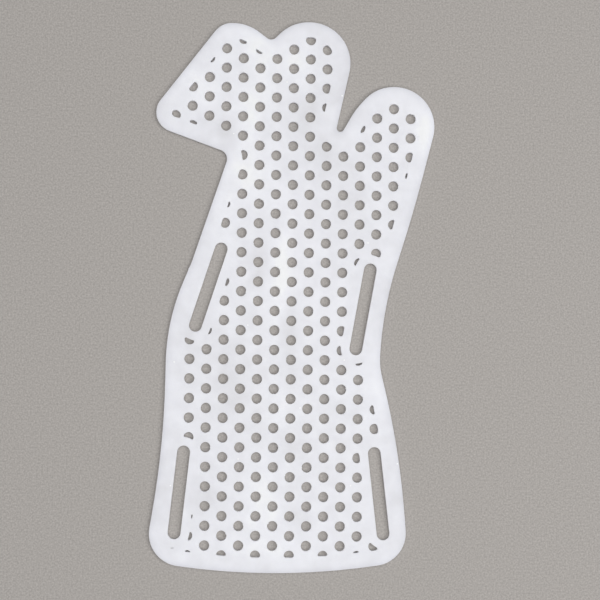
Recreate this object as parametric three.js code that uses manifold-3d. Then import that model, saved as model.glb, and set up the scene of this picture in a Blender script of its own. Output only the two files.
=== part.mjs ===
// Metacarpal splint: one flat sheet of white splinting plastic that is warmed and moulded to a hand.
// The sheet lies on the XY plane with its underside at z = 0, the fingers towards +Y, all in millimetres.
import * as THREE from "three";
import { mergeVertices } from "three/addons/utils/BufferGeometryUtils.js";
import Module from "manifold-3d";

const SHEET_THICKNESS = 2.4;

// The outline's corners before rounding, anticlockwise, each with the radius that rounds it.
// A long, gently curved edge is a shallow corner with a large radius.
const OUTLINE = [
  { corner: "forearm end, left", x: -67.1, y: -122.1, radius: 15 },
  { corner: "forearm end, bow", x: -7.8, y: -130.3, radius: 315 },
  { corner: "forearm end, right", x: 54.2, y: -121.6, radius: 15 },
  { corner: "forearm edge, right", x: 50.1, y: -71, radius: 380 },
  { corner: "waist, right", x: 40.3, y: -32.1, radius: 33 },
  { corner: "wrist, right", x: 41.6, y: -4.8, radius: 170 },
  { corner: "palm edge, right", x: 54.8, y: 37, radius: 700 },
  { corner: "right lobe, outer", x: 70.1, y: 97.5, radius: 18.6 },
  { corner: "right lobe, inner", x: 38.5, y: 97.7, radius: 18.2 },
  { corner: "right lobe, neck", x: 28.4, y: 87.6, radius: 46 },
  { corner: "finger gap", x: 17, y: 67.1, radius: 1.7 },
  { corner: "middle lobe, right", x: 30, y: 126.8, radius: 19 },
  { corner: "middle lobe, left", x: -1.7, y: 127.2, radius: 19 },
  { corner: "dip beside the ear", x: -11.1, y: 117.7, radius: 3.1 },
  { corner: "ear, shoulder", x: -22.5, y: 126.2, radius: 20 },
  { corner: "ear, top", x: -34.4, y: 126, radius: 10 },
  { corner: "ear, tip", x: -69.8, y: 79.7, radius: 9.2 },
  { corner: "ear, root", x: -30.1, y: 65.5, radius: 4.3 },
  { corner: "palm edge, left", x: -46.9, y: 14.9, radius: 20 },
  { corner: "wrist, left", x: -58, y: -11.8, radius: 100 },
  { corner: "forearm edge, left", x: -58.6, y: -69.5, radius: 400 },
];

// Slots that a 38 mm strap threads through: the middle of each, and its lean to the right of +Y in degrees.
const SLOT_LENGTH = 43;
const SLOT_WIDTH = 6;
const STRAP_SLOTS = [
  { slot: "palm left", x: -39.1, y: 3.6, lean: 17.9 },
  { slot: "palm right", x: 32.4, y: -5.8, lean: 9.9 },
  { slot: "forearm left", x: -51.4, y: -90.6, lean: 6 },
  { slot: "forearm right", x: 40.4, y: -90.6, lean: -6.8 },
];

// Round perforations in staggered columns, cut off short where they meet the plain border.
const HOLE_PITCH = 8.98; // from hole to hole in a column
const COLUMN_STEP = 7.77;
const HOLE_DIAMETER = 4.76; // 3/16 inch
const HOLE_SIDES = 8;
const FIRST_HOLE = { x: -0.69, y: -2.53 };
const PLAIN_EDGE = 7; // border without holes along the outline
const PLAIN_SLOT = 3.9; // border without holes round each slot
const SMALLEST_CUT = 1.2; // mm2, a cut-off hole smaller than this is left closed

const CHORD_ERROR = 0.02; // the farthest that a faceted arc may stray from the true one
const OVERRUN = 1; // cutters run this far past both faces

const wasm = await Module();
wasm.setup();

// The point at a distance from the origin, in a direction.
function polar(radius, angle) {
  return new THREE.Vector2(radius * Math.cos(angle), radius * Math.sin(angle));
}

// Points of an arc, ends included.
function arcPoints(centre, radius, start, sweep) {
  const step = 2 * Math.acos(1 - CHORD_ERROR / radius);
  const count = Math.ceil(Math.abs(sweep) / step);
  return Array.from({ length: count + 1 }, (_, i) => polar(radius, start + (sweep * i) / count).add(centre));
}

// The outline as points, moved inwards by a distance: outer corners tighten and inner corners widen.
function outlinePoints(inset) {
  return OUTLINE.flatMap((row, i) => {
    const before = OUTLINE.at(i - 1);
    const after = OUTLINE[(i + 1) % OUTLINE.length];
    const into = new THREE.Vector2(row.x - before.x, row.y - before.y).normalize();
    const out = new THREE.Vector2(after.x - row.x, after.y - row.y).normalize();
    const turn = Math.atan2(into.cross(out), into.dot(out));
    const side = Math.sign(turn); // 1 at an outer corner, -1 at an inner one

    const inward = new THREE.Vector2(-into.y - out.y, into.x + out.x);
    const toCentre = inward.multiplyScalar((side * row.radius) / (1 + into.dot(out)));
    const centre = toCentre.add(row);
    const start = Math.atan2(-side * into.x, side * into.y);
    return arcPoints(centre, row.radius - side * inset, start, turn);
  });
}

// A strap slot with round ends, grown on all sides by a distance.
function slotPoints({ x, y, lean }, grow) {
  const along = Math.PI / 2 - THREE.MathUtils.degToRad(lean);
  const toEnd = (SLOT_LENGTH - SLOT_WIDTH) / 2;
  const radius = SLOT_WIDTH / 2 + grow;
  const upper = polar(toEnd, along).add({ x, y });
  const lower = polar(-toEnd, along).add({ x, y });
  return [
    ...arcPoints(upper, radius, along - Math.PI / 2, Math.PI),
    ...arcPoints(lower, radius, along + Math.PI / 2, Math.PI),
  ];
}

// A faceted hole with the same area as the round one.
function holePoints(x, y) {
  const facet = (2 * Math.PI) / HOLE_SIDES;
  const radius = (HOLE_DIAMETER / 2) * Math.sqrt(facet / Math.sin(facet));
  return Array.from({ length: HOLE_SIDES }, (_, i) => polar(radius, (i + 0.5) * facet).add({ x, y }));
}

// A solid with straight walls over a closed row of points.
function prism(points, bottom, top) {
  const geometry = new THREE.ExtrudeGeometry(new THREE.Shape(points), {
    depth: top - bottom,
    bevelEnabled: false,
  });
  geometry.deleteAttribute("normal");
  geometry.deleteAttribute("uv");
  const merged = mergeVertices(geometry.translate(0, 0, bottom));
  return new wasm.Manifold(
    new wasm.Mesh({
      numProp: 3,
      vertProperties: merged.attributes.position.array,
      triVerts: new Uint32Array(merged.index.array),
    }),
  );
}

// A cutter that runs right through the sheet.
function cutter(points) {
  return prism(points, -OVERRUN, SHEET_THICKNESS + OVERRUN);
}

// Every perforation, cut off where it leaves the field inside the plain borders.
function perforations() {
  const field = STRAP_SLOTS.reduce(
    (left, slot) => left.subtract(cutter(slotPoints(slot, PLAIN_SLOT))),
    cutter(outlinePoints(PLAIN_EDGE)),
  );
  const [halfWidth, halfLength] = field.boundingBox().max;
  const smallest = SMALLEST_CUT * (SHEET_THICKNESS + 2 * OVERRUN);
  const columns = Math.ceil(halfWidth / COLUMN_STEP);
  const rows = Math.ceil(halfLength / HOLE_PITCH);
  const cuts = [];
  for (let column = -columns; column <= columns; column++) {
    const stagger = column % 2 ? HOLE_PITCH / 2 : 0;
    for (let row = -rows; row <= rows; row++) {
      const x = FIRST_HOLE.x + column * COLUMN_STEP;
      const y = FIRST_HOLE.y + row * HOLE_PITCH + stagger;
      const cut = field.intersect(cutter(holePoints(x, y)));
      if (cut.volume() > smallest) cuts.push(cut);
    }
  }
  return cuts;
}

function splintSheet() {
  const slots = STRAP_SLOTS.map((slot) => cutter(slotPoints(slot, 0)));
  const openings = [...slots, ...perforations()].reduce((all, opening) => all.add(opening));
  const sheet = prism(outlinePoints(0), 0, SHEET_THICKNESS).subtract(openings);

  const { vertProperties, triVerts } = sheet.getMesh();
  const geometry = new THREE.BufferGeometry();
  geometry.setAttribute("position", new THREE.BufferAttribute(vertProperties, 3));
  geometry.setIndex(new THREE.BufferAttribute(triVerts, 1));
  geometry.computeVertexNormals();
  const milkyPlastic = new THREE.MeshStandardMaterial({
    color: 0xe6e7ed,
    roughness: 0.45,
    metalness: 0,
    flatShading: true,
  });
  const mesh = new THREE.Mesh(geometry, milkyPlastic);
  mesh.name = "splint_sheet";
  return mesh;
}

const metacarpalSplint = new THREE.Group();
metacarpalSplint.add(splintSheet());

export default metacarpalSplint;
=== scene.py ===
# Metacarpal splint: one flat, punched sheet of milky splinting plastic, lying on a pale card.
# Shapes are worked out in millimetres, in the frame of the CAD solid, and turned to metres in the mesh.
import math
import random

import bpy
from mathutils import Matrix, Vector, noise
from mathutils.geometry import delaunay_2d_cdt


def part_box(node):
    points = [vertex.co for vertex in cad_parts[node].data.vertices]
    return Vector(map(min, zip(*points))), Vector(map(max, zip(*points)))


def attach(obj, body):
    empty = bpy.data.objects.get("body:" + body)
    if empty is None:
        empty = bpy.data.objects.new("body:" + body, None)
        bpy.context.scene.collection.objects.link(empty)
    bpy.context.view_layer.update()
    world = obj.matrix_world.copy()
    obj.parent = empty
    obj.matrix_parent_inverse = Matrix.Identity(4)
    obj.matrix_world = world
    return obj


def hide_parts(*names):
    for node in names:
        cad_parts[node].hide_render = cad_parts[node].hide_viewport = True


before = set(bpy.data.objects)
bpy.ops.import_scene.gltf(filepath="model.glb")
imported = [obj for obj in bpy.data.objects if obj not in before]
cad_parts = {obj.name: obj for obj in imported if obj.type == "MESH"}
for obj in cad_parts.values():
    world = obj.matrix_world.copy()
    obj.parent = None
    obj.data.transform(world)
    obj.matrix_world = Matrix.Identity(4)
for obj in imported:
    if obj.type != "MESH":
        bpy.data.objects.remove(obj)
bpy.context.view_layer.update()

MM = 0.001
SHEET = "splint_sheet"
sheet_low, sheet_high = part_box(SHEET)
THICKNESS = (sheet_high.z - sheet_low.z) / MM

# Perforations: round punches in staggered columns, which the CAD solid holds with eight sides.
HOLE_RADIUS = 2.38
HOLE_PITCH = 8.98
COLUMN_STEP = 7.77
FIRST_HOLE = Vector((-0.69, -2.53))
CAD_SIDES = 8
CAD_FACET = math.tau / CAD_SIDES
CAD_APOTHEM = HOLE_RADIUS * math.sqrt(CAD_FACET / math.sin(CAD_FACET)) * math.cos(CAD_FACET / 2)
CAD_SLACK = 0.01  # a point this near one of the solid's flats or faces counts as on it
CAD_DIGITS = 4  # the solid's points are matched to this many decimals of a millimetre
SLOT_COUNT = 4
HOLE_POINTS = 32  # points round a whole perforation
CLOSE_IN = Vector((0.07, 0.025))  # the plastic closes in behind the punch, more across than along

# A worn punch: holes a little out of round, and here and there a burr that stands into the hole.
PUNCH_WOBBLE = 0.03
WOBBLE_LOBES = 3
BURR_CHANCE = 0.2
BURR_REACH = (0.12, 0.3)
BURR_SEED = 5

# Perforations cut off by the plain border: their thin tips have closed up and their corners are blunt.
CLOSED_TIP = 0.45  # tips thinner than this are closed
BLUNT_STEP = 0.25  # spacing of points round the opening
BLUNT_PASSES = 3
ARC_SLACK = 0.02  # a point this near the perforation's circle counts as on it
CROWDED = 0.03  # points nearer than this to the one before are dropped

# The nub where the outline's cut begins and ends.
CUT_START = Vector((-48.4, 12.3))
CUT_START_REACH = 0.45
CUT_START_WIDTH = 0.5

# A punch that only grazed the sheet left a slit by the lower left slot, in the lattice's next place.
GRAZE_MIDDLE = Vector((-54.2, -116.0))
GRAZE_LENGTH = 1.5
GRAZE_WIDTH = 0.22
GRAZE_POINTS = 12

# Edges: the die leaves a small round on every rim and draws the face down a little along the outline.
RIM_ROUND = 0.1
DRAW_WIDTH = 4.0
DRAW_DEPTH = 0.16
DRAW_STEPS = (1, 0.75, 0.5, 0.3, 0.14)
OUTLINE_STEP = 0.8  # spacing of points along the outline and the slots
MITRE_LIMIT = 1.5
SHARPEST_TURN = 0.1  # keeps a mitre finite where a rim all but doubles back
SAME_POINT = 1e-7  # face points nearer than this are one


def polar(radius, angle):
    """The point at a distance from the origin, in a direction."""
    return Vector((radius * math.cos(angle), radius * math.sin(angle)))


def following(row):
    """The row moved on by one, for pairing each item with the next."""
    return row[1:] + row[:1]


def rim_loops(mesh):
    """Closed rows of points round the solid's upper face, with the plastic on the left of each."""
    edges = set()
    for face in mesh.polygons:
        corners = [mesh.vertices[i].co / MM for i in face.vertices]
        if min(c.z for c in corners) > THICKNESS - CAD_SLACK:
            spots = [(round(c.x, CAD_DIGITS), round(c.y, CAD_DIGITS)) for c in corners]
            edges.update(zip(spots, following(spots)))
    onward = dict(sorted((a, b) for a, b in edges if (b, a) not in edges))
    loops = []
    while onward:
        start, spot = onward.popitem()
        loop = [start]
        while spot != start:
            loop.append(spot)
            spot = onward.pop(spot)
        loops.append([Vector(s) for s in loop])
    return loops


def spread(loop):
    """The longer side of a loop's box."""
    return max(max(p[i] for p in loop) - min(p[i] for p in loop) for i in (0, 1))


def stepped(loop, step):
    """A loop with points added so that none are farther apart than the step."""
    points = []
    for a, b in zip(loop, following(loop)):
        count = max(1, math.ceil((b - a).length / step))
        points += [a.lerp(b, i / count) for i in range(count)]
    return points


def hole_centre(loop):
    """The lattice point that a perforation was punched at, the nearest to the middle of its loop."""
    middle = sum(loop, Vector((0, 0))) / len(loop)
    column = round((middle.x - FIRST_HOLE.x) / COLUMN_STEP)
    choices = []
    for c in (column - 1, column, column + 1):
        stagger = HOLE_PITCH / 2 * (c % 2)
        row = round((middle.y - FIRST_HOLE.y - stagger) / HOLE_PITCH)
        choices.append(FIRST_HOLE + Vector((c * COLUMN_STEP, row * HOLE_PITCH + stagger)))
    return min(choices, key=lambda centre: (centre - middle).length)


def on_facet(point, centre):
    """Whether a point lies on one of the eight flats of the solid's perforation."""
    spoke = point - centre
    flat = round(math.atan2(spoke.y, spoke.x) / CAD_FACET) * CAD_FACET
    return spoke.dot(polar(1, flat)) > CAD_APOTHEM - CAD_SLACK


def circle_crossing(inner, outer, centre):
    """Where the line through two points crosses the perforation's circle, near the second point."""
    along = (outer - inner).normalized()
    foot = along.dot(centre - outer)
    miss = (centre - outer).length_squared - foot * foot
    half = math.sqrt(max(0, HOLE_RADIUS**2 - miss))
    return outer + along * min((foot - half, foot + half), key=abs)


def clockwise_arc(centre, start, end):
    """Points on the perforation's circle, clockwise from one point to another, both included."""
    first = math.atan2(start.y - centre.y, start.x - centre.x)
    sweep = (first - math.atan2(end.y - centre.y, end.x - centre.x)) % math.tau
    count = max(2, round(sweep / math.tau * HOLE_POINTS))
    return [centre + polar(HOLE_RADIUS, first - sweep * i / count) for i in range(count + 1)]


def blunted(loop, centre):
    """A cut-off perforation's loop with its thin tips closed up and its corners worn round."""
    points = stepped(loop, BLUNT_STEP)
    on_arc = [(point - centre).length > HOLE_RADIUS - ARC_SLACK for point in points]
    room = []
    for point, side in zip(points, on_arc):
        facing = [(point - p).length for p, p_side in zip(points, on_arc) if p_side != side]
        room.append(min(facing, default=HOLE_RADIUS))
    thin = min(CLOSED_TIP, max(room) / 2)
    points = stepped([point for point, width in zip(points, room) if width > thin], BLUNT_STEP)
    for _ in range(BLUNT_PASSES):
        trios = zip(points[-1:] + points[:-1], points, following(points))
        points = [(a + 2 * b + c) / 4 for a, b, c in trios]
    return points


def punched(loop):
    """A perforation's loop with its flats made into the true circle, and its cut edges as they are."""
    centre = hole_centre(loop)
    flats = [
        all(on_facet(p, centre) for p in (a, b, a.lerp(b, 0.5)))
        for a, b in zip(loop, following(loop))
    ]
    if all(flats):
        turns = [-math.tau * i / HOLE_POINTS for i in range(HOLE_POINTS)]
        return [centre + polar(HOLE_RADIUS, turn) for turn in turns]
    count = len(loop)
    first = next(i for i in range(count) if flats[i] and not flats[i - 1])
    points = []
    for i in range(first, first + count):
        before, here, after = loop[(i - 1) % count], loop[i % count], loop[(i + 1) % count]
        flat_before, flat_after = flats[(i - 1) % count], flats[i % count]
        if flat_after and not flat_before:
            start = circle_crossing(before, here, centre)
        elif flat_before and not flat_after:
            points += clockwise_arc(centre, start, circle_crossing(after, here, centre))
        elif not flat_before and (here - centre).length < HOLE_RADIUS:
            points.append(here)
    return blunted(points, centre)


def without_crowding(loop, gap):
    """A loop without the points that all but touch the one before them."""
    return [b for a, b in zip(loop[-1:] + loop[:-1], loop) if (b - a).length > gap]


def rim_normals(loop):
    """The direction out of the plastic at each point of a loop, longer at a corner, as a mitre is."""
    normals = []
    for before, here, after in zip(loop[-1:] + loop[:-1], loop, following(loop)):
        a, b = (here - before).normalized(), (after - here).normalized()
        mitre = Vector((a.y + b.y, -a.x - b.x)) / max(1 + a.dot(b), SHARPEST_TURN)
        normals.append(mitre * min(1, MITRE_LIMIT / mitre.length))
    return normals


def closed_in(rim):
    """An opening's rim once the plastic has sprung back behind the punch."""
    return [point + out * CLOSE_IN for point, out in zip(rim, rim_normals(rim))]


def ragged(rim, draw):
    """A perforation's rim as a worn punch leaves it."""
    phase = draw.uniform(0, math.tau)
    burr = draw.randrange(len(rim)) if draw.random() < BURR_CHANCE else None
    reach = draw.uniform(*BURR_REACH)
    points = []
    for i, (point, out) in enumerate(zip(rim, rim_normals(rim))):
        wobble = PUNCH_WOBBLE * math.sin(WOBBLE_LOBES * math.tau * i / len(rim) + phase)
        points.append(point + out * (wobble + reach * (i == burr)))
    return points


def with_cut_start(rim):
    """The outline with the small nub where its cut begins and ends."""
    points = []
    for point, out in zip(rim, rim_normals(rim)):
        away = (point - CUT_START).length / CUT_START_WIDTH
        points.append(point + out * CUT_START_REACH * math.exp(-away * away))
    return points


def graze():
    """The slit that the grazing punch left, pointed at both ends, clockwise as every opening is."""
    points = []
    for i in range(GRAZE_POINTS):
        turn = -math.tau * i / GRAZE_POINTS
        thin = math.sin(turn) * abs(math.sin(turn))
        points.append(GRAZE_MIDDLE + Vector((GRAZE_LENGTH * math.cos(turn), GRAZE_WIDTH * thin)) / 2)
    return points


def drawn_down(inset):
    """How far the face is drawn down at a distance from the outline, and how steep it is there."""
    left = max(0, 1 - inset / DRAW_WIDTH)
    return DRAW_DEPTH * left**2, 2 * DRAW_DEPTH / DRAW_WIDTH * left


def rim_profile(is_outline):
    """The rim's section, from the upper face over the edge to the lower one: inset, height, lean."""
    corner = [(RIM_ROUND * (1 - math.sin(a)), RIM_ROUND * (1 - math.cos(a)), a)
              for a in (0, math.pi / 4, math.pi / 2)]
    upper = [(inset, THICKNESS - fall, lean) for inset, fall, lean in corner]
    lower = [(inset, fall, math.pi - lean) for inset, fall, lean in reversed(corner)]
    if is_outline:
        flat = [(DRAW_WIDTH * share, THICKNESS, 0) for share in DRAW_STEPS]
        drawn = [(*ring, *drawn_down(ring[0])) for ring in flat + upper]
        upper = [(inset, height - fall, max(lean, math.atan(steep)))
                 for inset, height, lean, fall, steep in drawn]
        lower += [(DRAW_WIDTH, 0, math.pi)]
    return upper + lower


# The sheet was rolled, pressed and cooled, so it is flat only to about a tenth of a millimetre.
WAVE_ACROSS = 34
WAVE_ALONG = 90
WAVE_HEIGHT = 0.1
WAVE_SLICE = 4.2  # which slice of the noise the waves are taken from
SLOPE_REACH = 0.5  # the slope is measured over this far to each side

# Milky clouds in the plastic, mixed with painted sheen and painted shade where its gentle waves tilt to
# or from the lamps: middle, half width, half length, lean to the right of +Y, and how pale.
CLOUDS_AND_SHEEN = [
    {"x": -18, "y": 116, "wide": 14, "long": 8, "lean": 30, "pale": 0.5},
    {"x": -20, "y": 82, "wide": 5, "long": 24, "lean": 10, "pale": 0.55},
    {"x": -19, "y": 56, "wide": 11, "long": 9, "lean": 0, "pale": 0.5},
    {"x": -33, "y": 40, "wide": 6, "long": 10, "lean": 15, "pale": 0.3},
    {"x": -5.5, "y": 10, "wide": 4.5, "long": 22, "lean": 5, "pale": 0.8},
    {"x": -6, "y": -53, "wide": 5, "long": 7, "lean": 0, "pale": 0.5},
    {"x": -13, "y": -95, "wide": 8, "long": 18, "lean": 0, "pale": 0.55},
    {"x": -10, "y": -116, "wide": 18, "long": 4, "lean": 0, "pale": 0.35},
    # Painted highlight: the satin face on the right lobe's edge, tilted towards the lamps.
    {"x": 62, "y": 78, "wide": 5, "long": 11, "lean": 10, "pale": 0.9},
    {"x": 38, "y": -43, "wide": 6, "long": 10, "lean": -10, "pale": 0.4},
    {"x": 1, "y": 104, "wide": 8, "long": 10, "lean": 0, "pale": 0.45},
    {"x": -40, "y": 96, "wide": 18, "long": 11, "lean": 0, "pale": 0.3},
    {"x": 5, "y": 84, "wide": 7, "long": 14, "lean": 20, "pale": -0.55},
    {"x": 14, "y": 66, "wide": 6, "long": 8, "lean": 0, "pale": -0.5},
    {"x": 20, "y": 97, "wide": 5, "long": 9, "lean": 0, "pale": -0.4},
    {"x": 25, "y": 44, "wide": 8, "long": 16, "lean": 0, "pale": -0.35},
    {"x": -32, "y": 77, "wide": 8, "long": 6, "lean": 0, "pale": -0.5},
    {"x": -16, "y": 14, "wide": 5, "long": 11, "lean": 0, "pale": -0.5},
    {"x": -1, "y": -20, "wide": 4, "long": 14, "lean": 0, "pale": -0.6},
    {"x": -28, "y": -42, "wide": 8, "long": 19, "lean": -14, "pale": -0.5},
    {"x": -38, "y": -93, "wide": 6, "long": 9, "lean": 0, "pale": -0.45},
    {"x": 4, "y": -103, "wide": 5, "long": 7, "lean": 0, "pale": -0.4},
    {"x": -1, "y": -70, "wide": 10, "long": 6, "lean": 0, "pale": -0.4},
    {"x": -57, "y": -92, "wide": 6, "long": 18, "lean": 0, "pale": -0.25},
    {"x": -46, "y": -16, "wide": 7, "long": 12, "lean": 0, "pale": -0.35},
    {"x": 40, "y": -5, "wide": 7, "long": 22, "lean": 8, "pale": -0.2},
    {"x": 44, "y": -90, "wide": 8, "long": 16, "lean": 0, "pale": -0.3},
]


def cloud_and_sheen_paleness(x, y):
    """How much paler than the rest the plastic is painted at a place, from its milky clouds and from
    painted sheen and shade.
    """
    total = 0
    for cloud in CLOUDS_AND_SHEEN:
        lean = math.radians(cloud["lean"])
        off_x, off_y = x - cloud["x"], y - cloud["y"]
        across = (off_x * math.cos(lean) - off_y * math.sin(lean)) / cloud["wide"]
        along = (off_x * math.sin(lean) + off_y * math.cos(lean)) / cloud["long"]
        total += cloud["pale"] * math.exp(-across * across - along * along)
    return total


def sheet_lift(x, y):
    """How far the sheet stands off the card at a place."""
    return WAVE_HEIGHT * (1 + noise.noise(Vector((x / WAVE_ACROSS, y / WAVE_ALONG, WAVE_SLICE))))


def lift_slope(x, y):
    """The lift's slope along X and along Y."""
    rise_x = sheet_lift(x + SLOPE_REACH, y) - sheet_lift(x - SLOPE_REACH, y)
    rise_y = sheet_lift(x, y + SLOPE_REACH) - sheet_lift(x, y - SLOPE_REACH)
    return rise_x / (2 * SLOPE_REACH), rise_y / (2 * SLOPE_REACH)


def face_triangles(rings):
    """The flat face inside the first ring and outside the others, as triangles of point numbers."""
    points, edges = [], []
    for ring in rings:
        numbers = list(range(len(points), len(points) + len(ring)))
        points += ring
        edges += zip(numbers, following(numbers))
    whole_hull = 0
    result = delaunay_2d_cdt(points, edges, [], whole_hull, SAME_POINT)
    triangles, originals = result[2:4]
    triangle_left_of = {}
    for corners in triangles:
        triangle = tuple(originals[i][0] for i in corners)
        for edge in zip(triangle, following(triangle)):
            triangle_left_of[edge] = triangle

    # The plastic is on the left of every rim, and runs from triangle to triangle until the next rim.
    rims = set(edges)
    waiting = [triangle_left_of[edge] for edge in edges]
    plastic = set()
    while waiting:
        triangle = waiting.pop()
        if triangle not in plastic:
            plastic.add(triangle)
            inner = [edge for edge in zip(triangle, following(triangle)) if edge not in rims]
            waiting += [triangle_left_of[(b, a)] for a, b in inner]
    return sorted(plastic)


def sheet_rims():
    """The outline first, then every opening, as rows of points."""
    loops = sorted(rim_loops(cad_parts[SHEET].data), key=spread, reverse=True)
    long_loops, holes = loops[: 1 + SLOT_COUNT], loops[1 + SLOT_COUNT :]
    uncrowded = [without_crowding(loop, OUTLINE_STEP / 3) for loop in long_loops]
    outline_rim, *slot_rims = [stepped(loop, OUTLINE_STEP) for loop in uncrowded]
    hole_rims = [without_crowding(punched(loop), CROWDED) for loop in holes]
    draw = random.Random(BURR_SEED)
    worn_rims = [ragged(closed_in(rim), draw) for rim in hole_rims]
    return [with_cut_start(outline_rim), *map(closed_in, slot_rims), *worn_rims, graze()]


def sheet_shell():
    """The sheet before its waves: points, normals, nearness to the outline from 0 to 1, and faces."""
    places, normals, drawn, faces = [], [], [], []
    upper_rings, upper_numbers, lower_numbers = [], [], []
    for order, rim in enumerate(sheet_rims()):
        is_outline = order == 0
        out = rim_normals(rim)
        previous = None
        for inset, height, lean in rim_profile(is_outline):
            numbers = list(range(len(places), len(places) + len(rim)))
            for point, normal in zip(rim, out):
                spot = point - normal * inset
                places.append((spot.x, spot.y, height))
                level = normal.normalized() * math.sin(lean)
                normals.append((level.x, level.y, math.cos(lean)))
                drawn.append(1 - inset / DRAW_WIDTH if is_outline else 0)
            if previous:
                faces += zip(previous, numbers, following(numbers), following(previous))
            else:
                upper_numbers += numbers
                upper_rings.append([Vector(places[n][:2]) for n in numbers])
            previous = numbers
        lower_numbers += previous
    for a, b, c in face_triangles(upper_rings):
        faces.append((upper_numbers[a], upper_numbers[b], upper_numbers[c]))
        faces.append((lower_numbers[c], lower_numbers[b], lower_numbers[a]))
    return places, normals, drawn, faces


def build_sheet():
    """The sheet with true round perforations, small rounds on its rims and its slight waves."""
    places, normals, drawn, faces = sheet_shell()
    lifted, leaning = [], []
    for (x, y, height), normal in zip(places, normals):
        lifted.append(Vector((x, y, height + sheet_lift(x, y))) * MM)
        slope_x, slope_y = lift_slope(x, y)
        tip = Vector((-slope_x, -slope_y, 0)) * normal[2]
        leaning.append((Vector(normal) + tip).normalized())
    mesh = bpy.data.meshes.new("milky_sheet")
    mesh.from_pydata(lifted, [], faces)
    mesh.attributes.new("drawn", "FLOAT", "POINT").data.foreach_set("value", drawn)
    paleness_with_sheen = [cloud_and_sheen_paleness(x, y) for x, y, height in places]
    mesh.attributes.new("paleness_with_sheen", "FLOAT", "POINT").data.foreach_set("value", paleness_with_sheen)
    mesh.polygons.foreach_set("use_smooth", [True] * len(mesh.polygons))
    mesh.normals_split_custom_set_from_vertices(leaning)
    sheet = bpy.data.objects.new("milky_sheet", mesh)
    bpy.context.scene.collection.objects.link(sheet)
    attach(sheet, "root")
    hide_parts(SHEET)
    return sheet


def linear(code):
    """An sRGB hex colour as linear RGBA."""
    shares = [int(code[i : i + 2], 16) / 255 for i in (1, 3, 5)]
    return (*[s / 12.92 if s <= 0.04045 else ((s + 0.055) / 1.055) ** 2.4 for s in shares], 1)


def add_node(tree, kind, inputs, **settings):
    """A node with its own settings, and its inputs as values or as the sockets that feed them."""
    node = tree.nodes.new("ShaderNode" + kind)
    for name, value in settings.items():
        setattr(node, name, value)
    for name, value in inputs.items():
        if isinstance(value, bpy.types.NodeSocket):
            tree.links.new(value, node.inputs[name])
        else:
            node.inputs[name].default_value = value
    return node


def new_material(name):
    """An empty node material, its tree, and its output node."""
    material = bpy.data.materials.new(name)
    material.use_nodes = True
    material.node_tree.nodes.clear()
    return material, material.node_tree, material.node_tree.nodes.new("ShaderNodeOutputMaterial")


def cells(size):
    """A texture's scale for a pattern of a size in millimetres."""
    return 1 / (size * MM)


# A colour Mix node's sockets: its two colours, and its result.
COLOUR_A, COLOUR_B, COLOUR_OUT = 6, 7, 2

# The plastic: how strongly its clouds and painted sheen show, and how the painted shade along the
# outline fades inward.
CLOUD_AND_SHEEN_STRENGTH = 0.85
OUTLINE_SHADE_FALLOFF = 2.0

# A pale fleck here and there on the sheet: about how far apart they lie, and half their width.
FLECK_SPACING = 40
FLECK_RADIUS = 0.35


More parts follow.
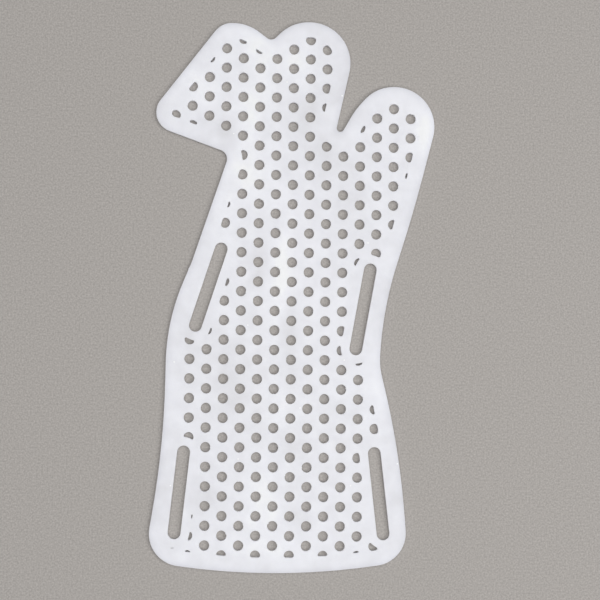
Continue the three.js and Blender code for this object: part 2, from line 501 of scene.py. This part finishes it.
def splinting_plastic():
    """Low-temperature splinting plastic, a rolled, pressed and punched polyester sheet.

    Light goes a millimetre or so into it, so it is milky, with soft clouds and a dull satin gloss;
    painted sheen and shade from its waves are mixed into the clouds.
    Along the outline it is drawn thinner, and painted shade darkens it there, standing in for light lost
    through the edge."""
    material, tree, output = new_material("pressed_splinting_plastic")
    place = add_node(tree, "TexCoord", {}).outputs["Object"]
    paleness_with_sheen = add_node(tree, "Attribute", {}, attribute_name="paleness_with_sheen").outputs["Fac"]
    drawn = add_node(tree, "Attribute", {}, attribute_name="drawn").outputs["Fac"]

    mottle = add_node(tree, "TexNoise", {"Vector": place, "Scale": cells(7), "Detail": 3.0})
    mottled = add_node(tree, "MapRange", {
        "Value": mottle.outputs["Fac"], "From Min": 0.3, "From Max": 0.7, "To Min": 0.3, "To Max": 0.7,
    })
    # Painted sheen and painted shade from the sheet's waves are mixed in here with its milky clouds.
    milk_and_sheen = add_node(tree, "Math", {
        0: paleness_with_sheen, 1: CLOUD_AND_SHEEN_STRENGTH, 2: mottled.outputs["Result"],
    }, operation="MULTIPLY_ADD")
    body = add_node(tree, "Mix", {
        "Factor": milk_and_sheen.outputs["Value"], COLOUR_A: linear("#e0e0e4"), COLOUR_B: linear("#f3f4fa"),
    }, data_type="RGBA")
    # Painted shade along the outline, darkest at the rim and gone four millimetres in, standing in for
    # light lost through the edge.
    thin = add_node(tree, "Math", {0: drawn, 1: OUTLINE_SHADE_FALLOFF}, operation="POWER")
    outline_shaded = add_node(tree, "Mix", {
        "Factor": thin.outputs["Value"], COLOUR_A: body.outputs[COLOUR_OUT], COLOUR_B: linear("#f2f2f3"),
    }, data_type="RGBA", blend_type="MULTIPLY")

    speckle = add_node(tree, "TexVoronoi", {
        "Vector": place, "Scale": cells(FLECK_SPACING),
    }, voronoi_dimensions="2D")
    fleck = add_node(tree, "Math", {
        0: speckle.outputs["Distance"], 1: FLECK_RADIUS / FLECK_SPACING,
    }, operation="LESS_THAN")
    flecked = add_node(tree, "Mix", {
        "Factor": fleck.outputs["Value"],
        COLOUR_A: outline_shaded.outputs[COLOUR_OUT],
        COLOUR_B: linear("#fbfbfd"),
    }, data_type="RGBA")

    satin = add_node(tree, "TexNoise", {"Vector": place, "Scale": cells(9), "Detail": 4.0})
    gloss = add_node(tree, "MapRange", {
        "Value": satin.outputs["Fac"], "From Min": 0.3, "From Max": 0.7, "To Min": 0.38, "To Max": 0.5,
    })
    # The press plate's grain is about 0.2 mm, drawn here at 0.8 mm so that it shows.
    grain = add_node(tree, "TexNoise", {"Vector": place, "Scale": cells(0.8), "Detail": 2.0})
    relief = add_node(tree, "Bump", {
        "Height": grain.outputs["Fac"], "Strength": 0.25, "Distance": 0.02 * MM,
    })
    shader = add_node(tree, "BsdfPrincipled", {
        "Base Color": flecked.outputs[COLOUR_OUT],
        "Roughness": gloss.outputs["Result"],
        "Normal": relief.outputs["Normal"],
        "IOR": 1.48,
        "Subsurface Weight": 1.0,
        "Subsurface Radius": (1.0, 1.0, 1.0),
        "Subsurface Scale": 0.7 * MM,
    })
    tree.links.new(shader.outputs["BSDF"], output.inputs["Surface"])
    return material


def grey_card():
    """Uncoated grey card, a calendered pulp board, dull with a faint fleck."""
    material, tree, output = new_material("uncoated_grey_card")
    place = add_node(tree, "TexCoord", {}).outputs["Object"]
    # The pulp's fibres are only about 0.03 mm wide, drawn here as flecks of 0.8 mm so that they show.
    fleck = add_node(tree, "TexNoise", {
        "Vector": place, "Scale": cells(0.8), "Detail": 3.0, "Roughness": 0.65,
    })
    colour = add_node(tree, "Mix", {
        "Factor": fleck.outputs["Fac"], COLOUR_A: linear("#7b7774"), COLOUR_B: linear("#cfcac5"),
    }, data_type="RGBA")
    shader = add_node(tree, "BsdfPrincipled", {
        "Base Color": colour.outputs[COLOUR_OUT], "Roughness": 0.9, "Specular IOR Level": 0.2,
    })
    tree.links.new(shader.outputs["BSDF"], output.inputs["Surface"])
    return material


CARD_HALF = 3.0  # metres
CARD_DROP = 0.02 * MM  # the card lies just under the sheet


def lay_card():
    """The card that the sheet lies on."""
    low, high = -CARD_HALF, CARD_HALF
    corners = [(x, y, -CARD_DROP) for x, y in ((low, low), (high, low), (high, high), (low, high))]
    mesh = bpy.data.meshes.new("card")
    mesh.from_pydata(corners, [], [(0, 1, 2, 3)])
    card = bpy.data.objects.new("card", mesh)
    bpy.context.scene.collection.objects.link(card)
    card.data.materials.append(grey_card())


# The photograph looks down at a slight slant: where the lens was, what its middle shows, and its turn.
LENS_PLACE = Vector((-26.3, -23.0, 703))
VIEW_MIDDLE = Vector((3.26, -1.81, 1.2))
VIEW_TURN = math.radians(0.61)
LENS = 91.3
SENSOR = 36.0


def hang_camera():
    """A short telephoto lens above the wrist, aimed a little up and to the right."""
    data = bpy.data.cameras.new("camera")
    data.lens = LENS
    data.sensor_width = SENSOR
    camera = bpy.data.objects.new("camera", data)
    back = (LENS_PLACE - VIEW_MIDDLE).normalized()
    right = Vector((-math.sin(VIEW_TURN), math.cos(VIEW_TURN), 0)).cross(back).normalized()
    turn = Matrix((right, back.cross(right), back)).transposed()
    camera.matrix_world = Matrix.LocRotScale(LENS_PLACE * MM, turn, None)
    bpy.context.scene.collection.objects.link(camera)
    bpy.context.scene.camera = camera


# Soft light: a pale room, a wide lamp overhead and a lamp from the right. Angles in degrees.
ROOM = 0.17
LAMPS = [
    {"lamp": "overhead", "bearing": -29, "height": 86, "away": 1.4, "size": 1.8, "share": 0.68},
    {"lamp": "side", "bearing": -15, "height": 48, "away": 1.3, "size": 0.6, "share": 0.11},
]


def light_scene():
    """Each lamp's share is of the light that a white card would send back."""
    scene = bpy.context.scene
    scene.view_settings.view_transform = "Standard"
    world = bpy.data.worlds.new("room")
    scene.world = world
    world.use_nodes = True
    background = world.node_tree.nodes["Background"]
    background.inputs["Color"].default_value = (1, 1, 1, 1)
    background.inputs["Strength"].default_value = ROOM
    for row in LAMPS:
        data = bpy.data.lights.new(row["lamp"], "AREA")
        data.shape = "DISK"
        data.size = row["size"]
        rise = math.radians(row["height"])
        spread_out = row["away"] ** 2 + (row["size"] / 2) ** 2
        data.energy = row["share"] * math.pi**2 * spread_out / math.sin(rise)
        lamp = bpy.data.objects.new(row["lamp"], data)
        level = polar(math.cos(rise), math.radians(row["bearing"]))
        towards = Vector((level.x, level.y, math.sin(rise)))
        lamp.location = towards * row["away"]
        lamp.rotation_euler = towards.to_track_quat("Z", "Y").to_euler()
        lamp.visible_camera = False
        scene.collection.objects.link(lamp)


hang_camera()
light_scene()
lay_card()
sheet = build_sheet()
sheet.data.materials.append(splinting_plastic())
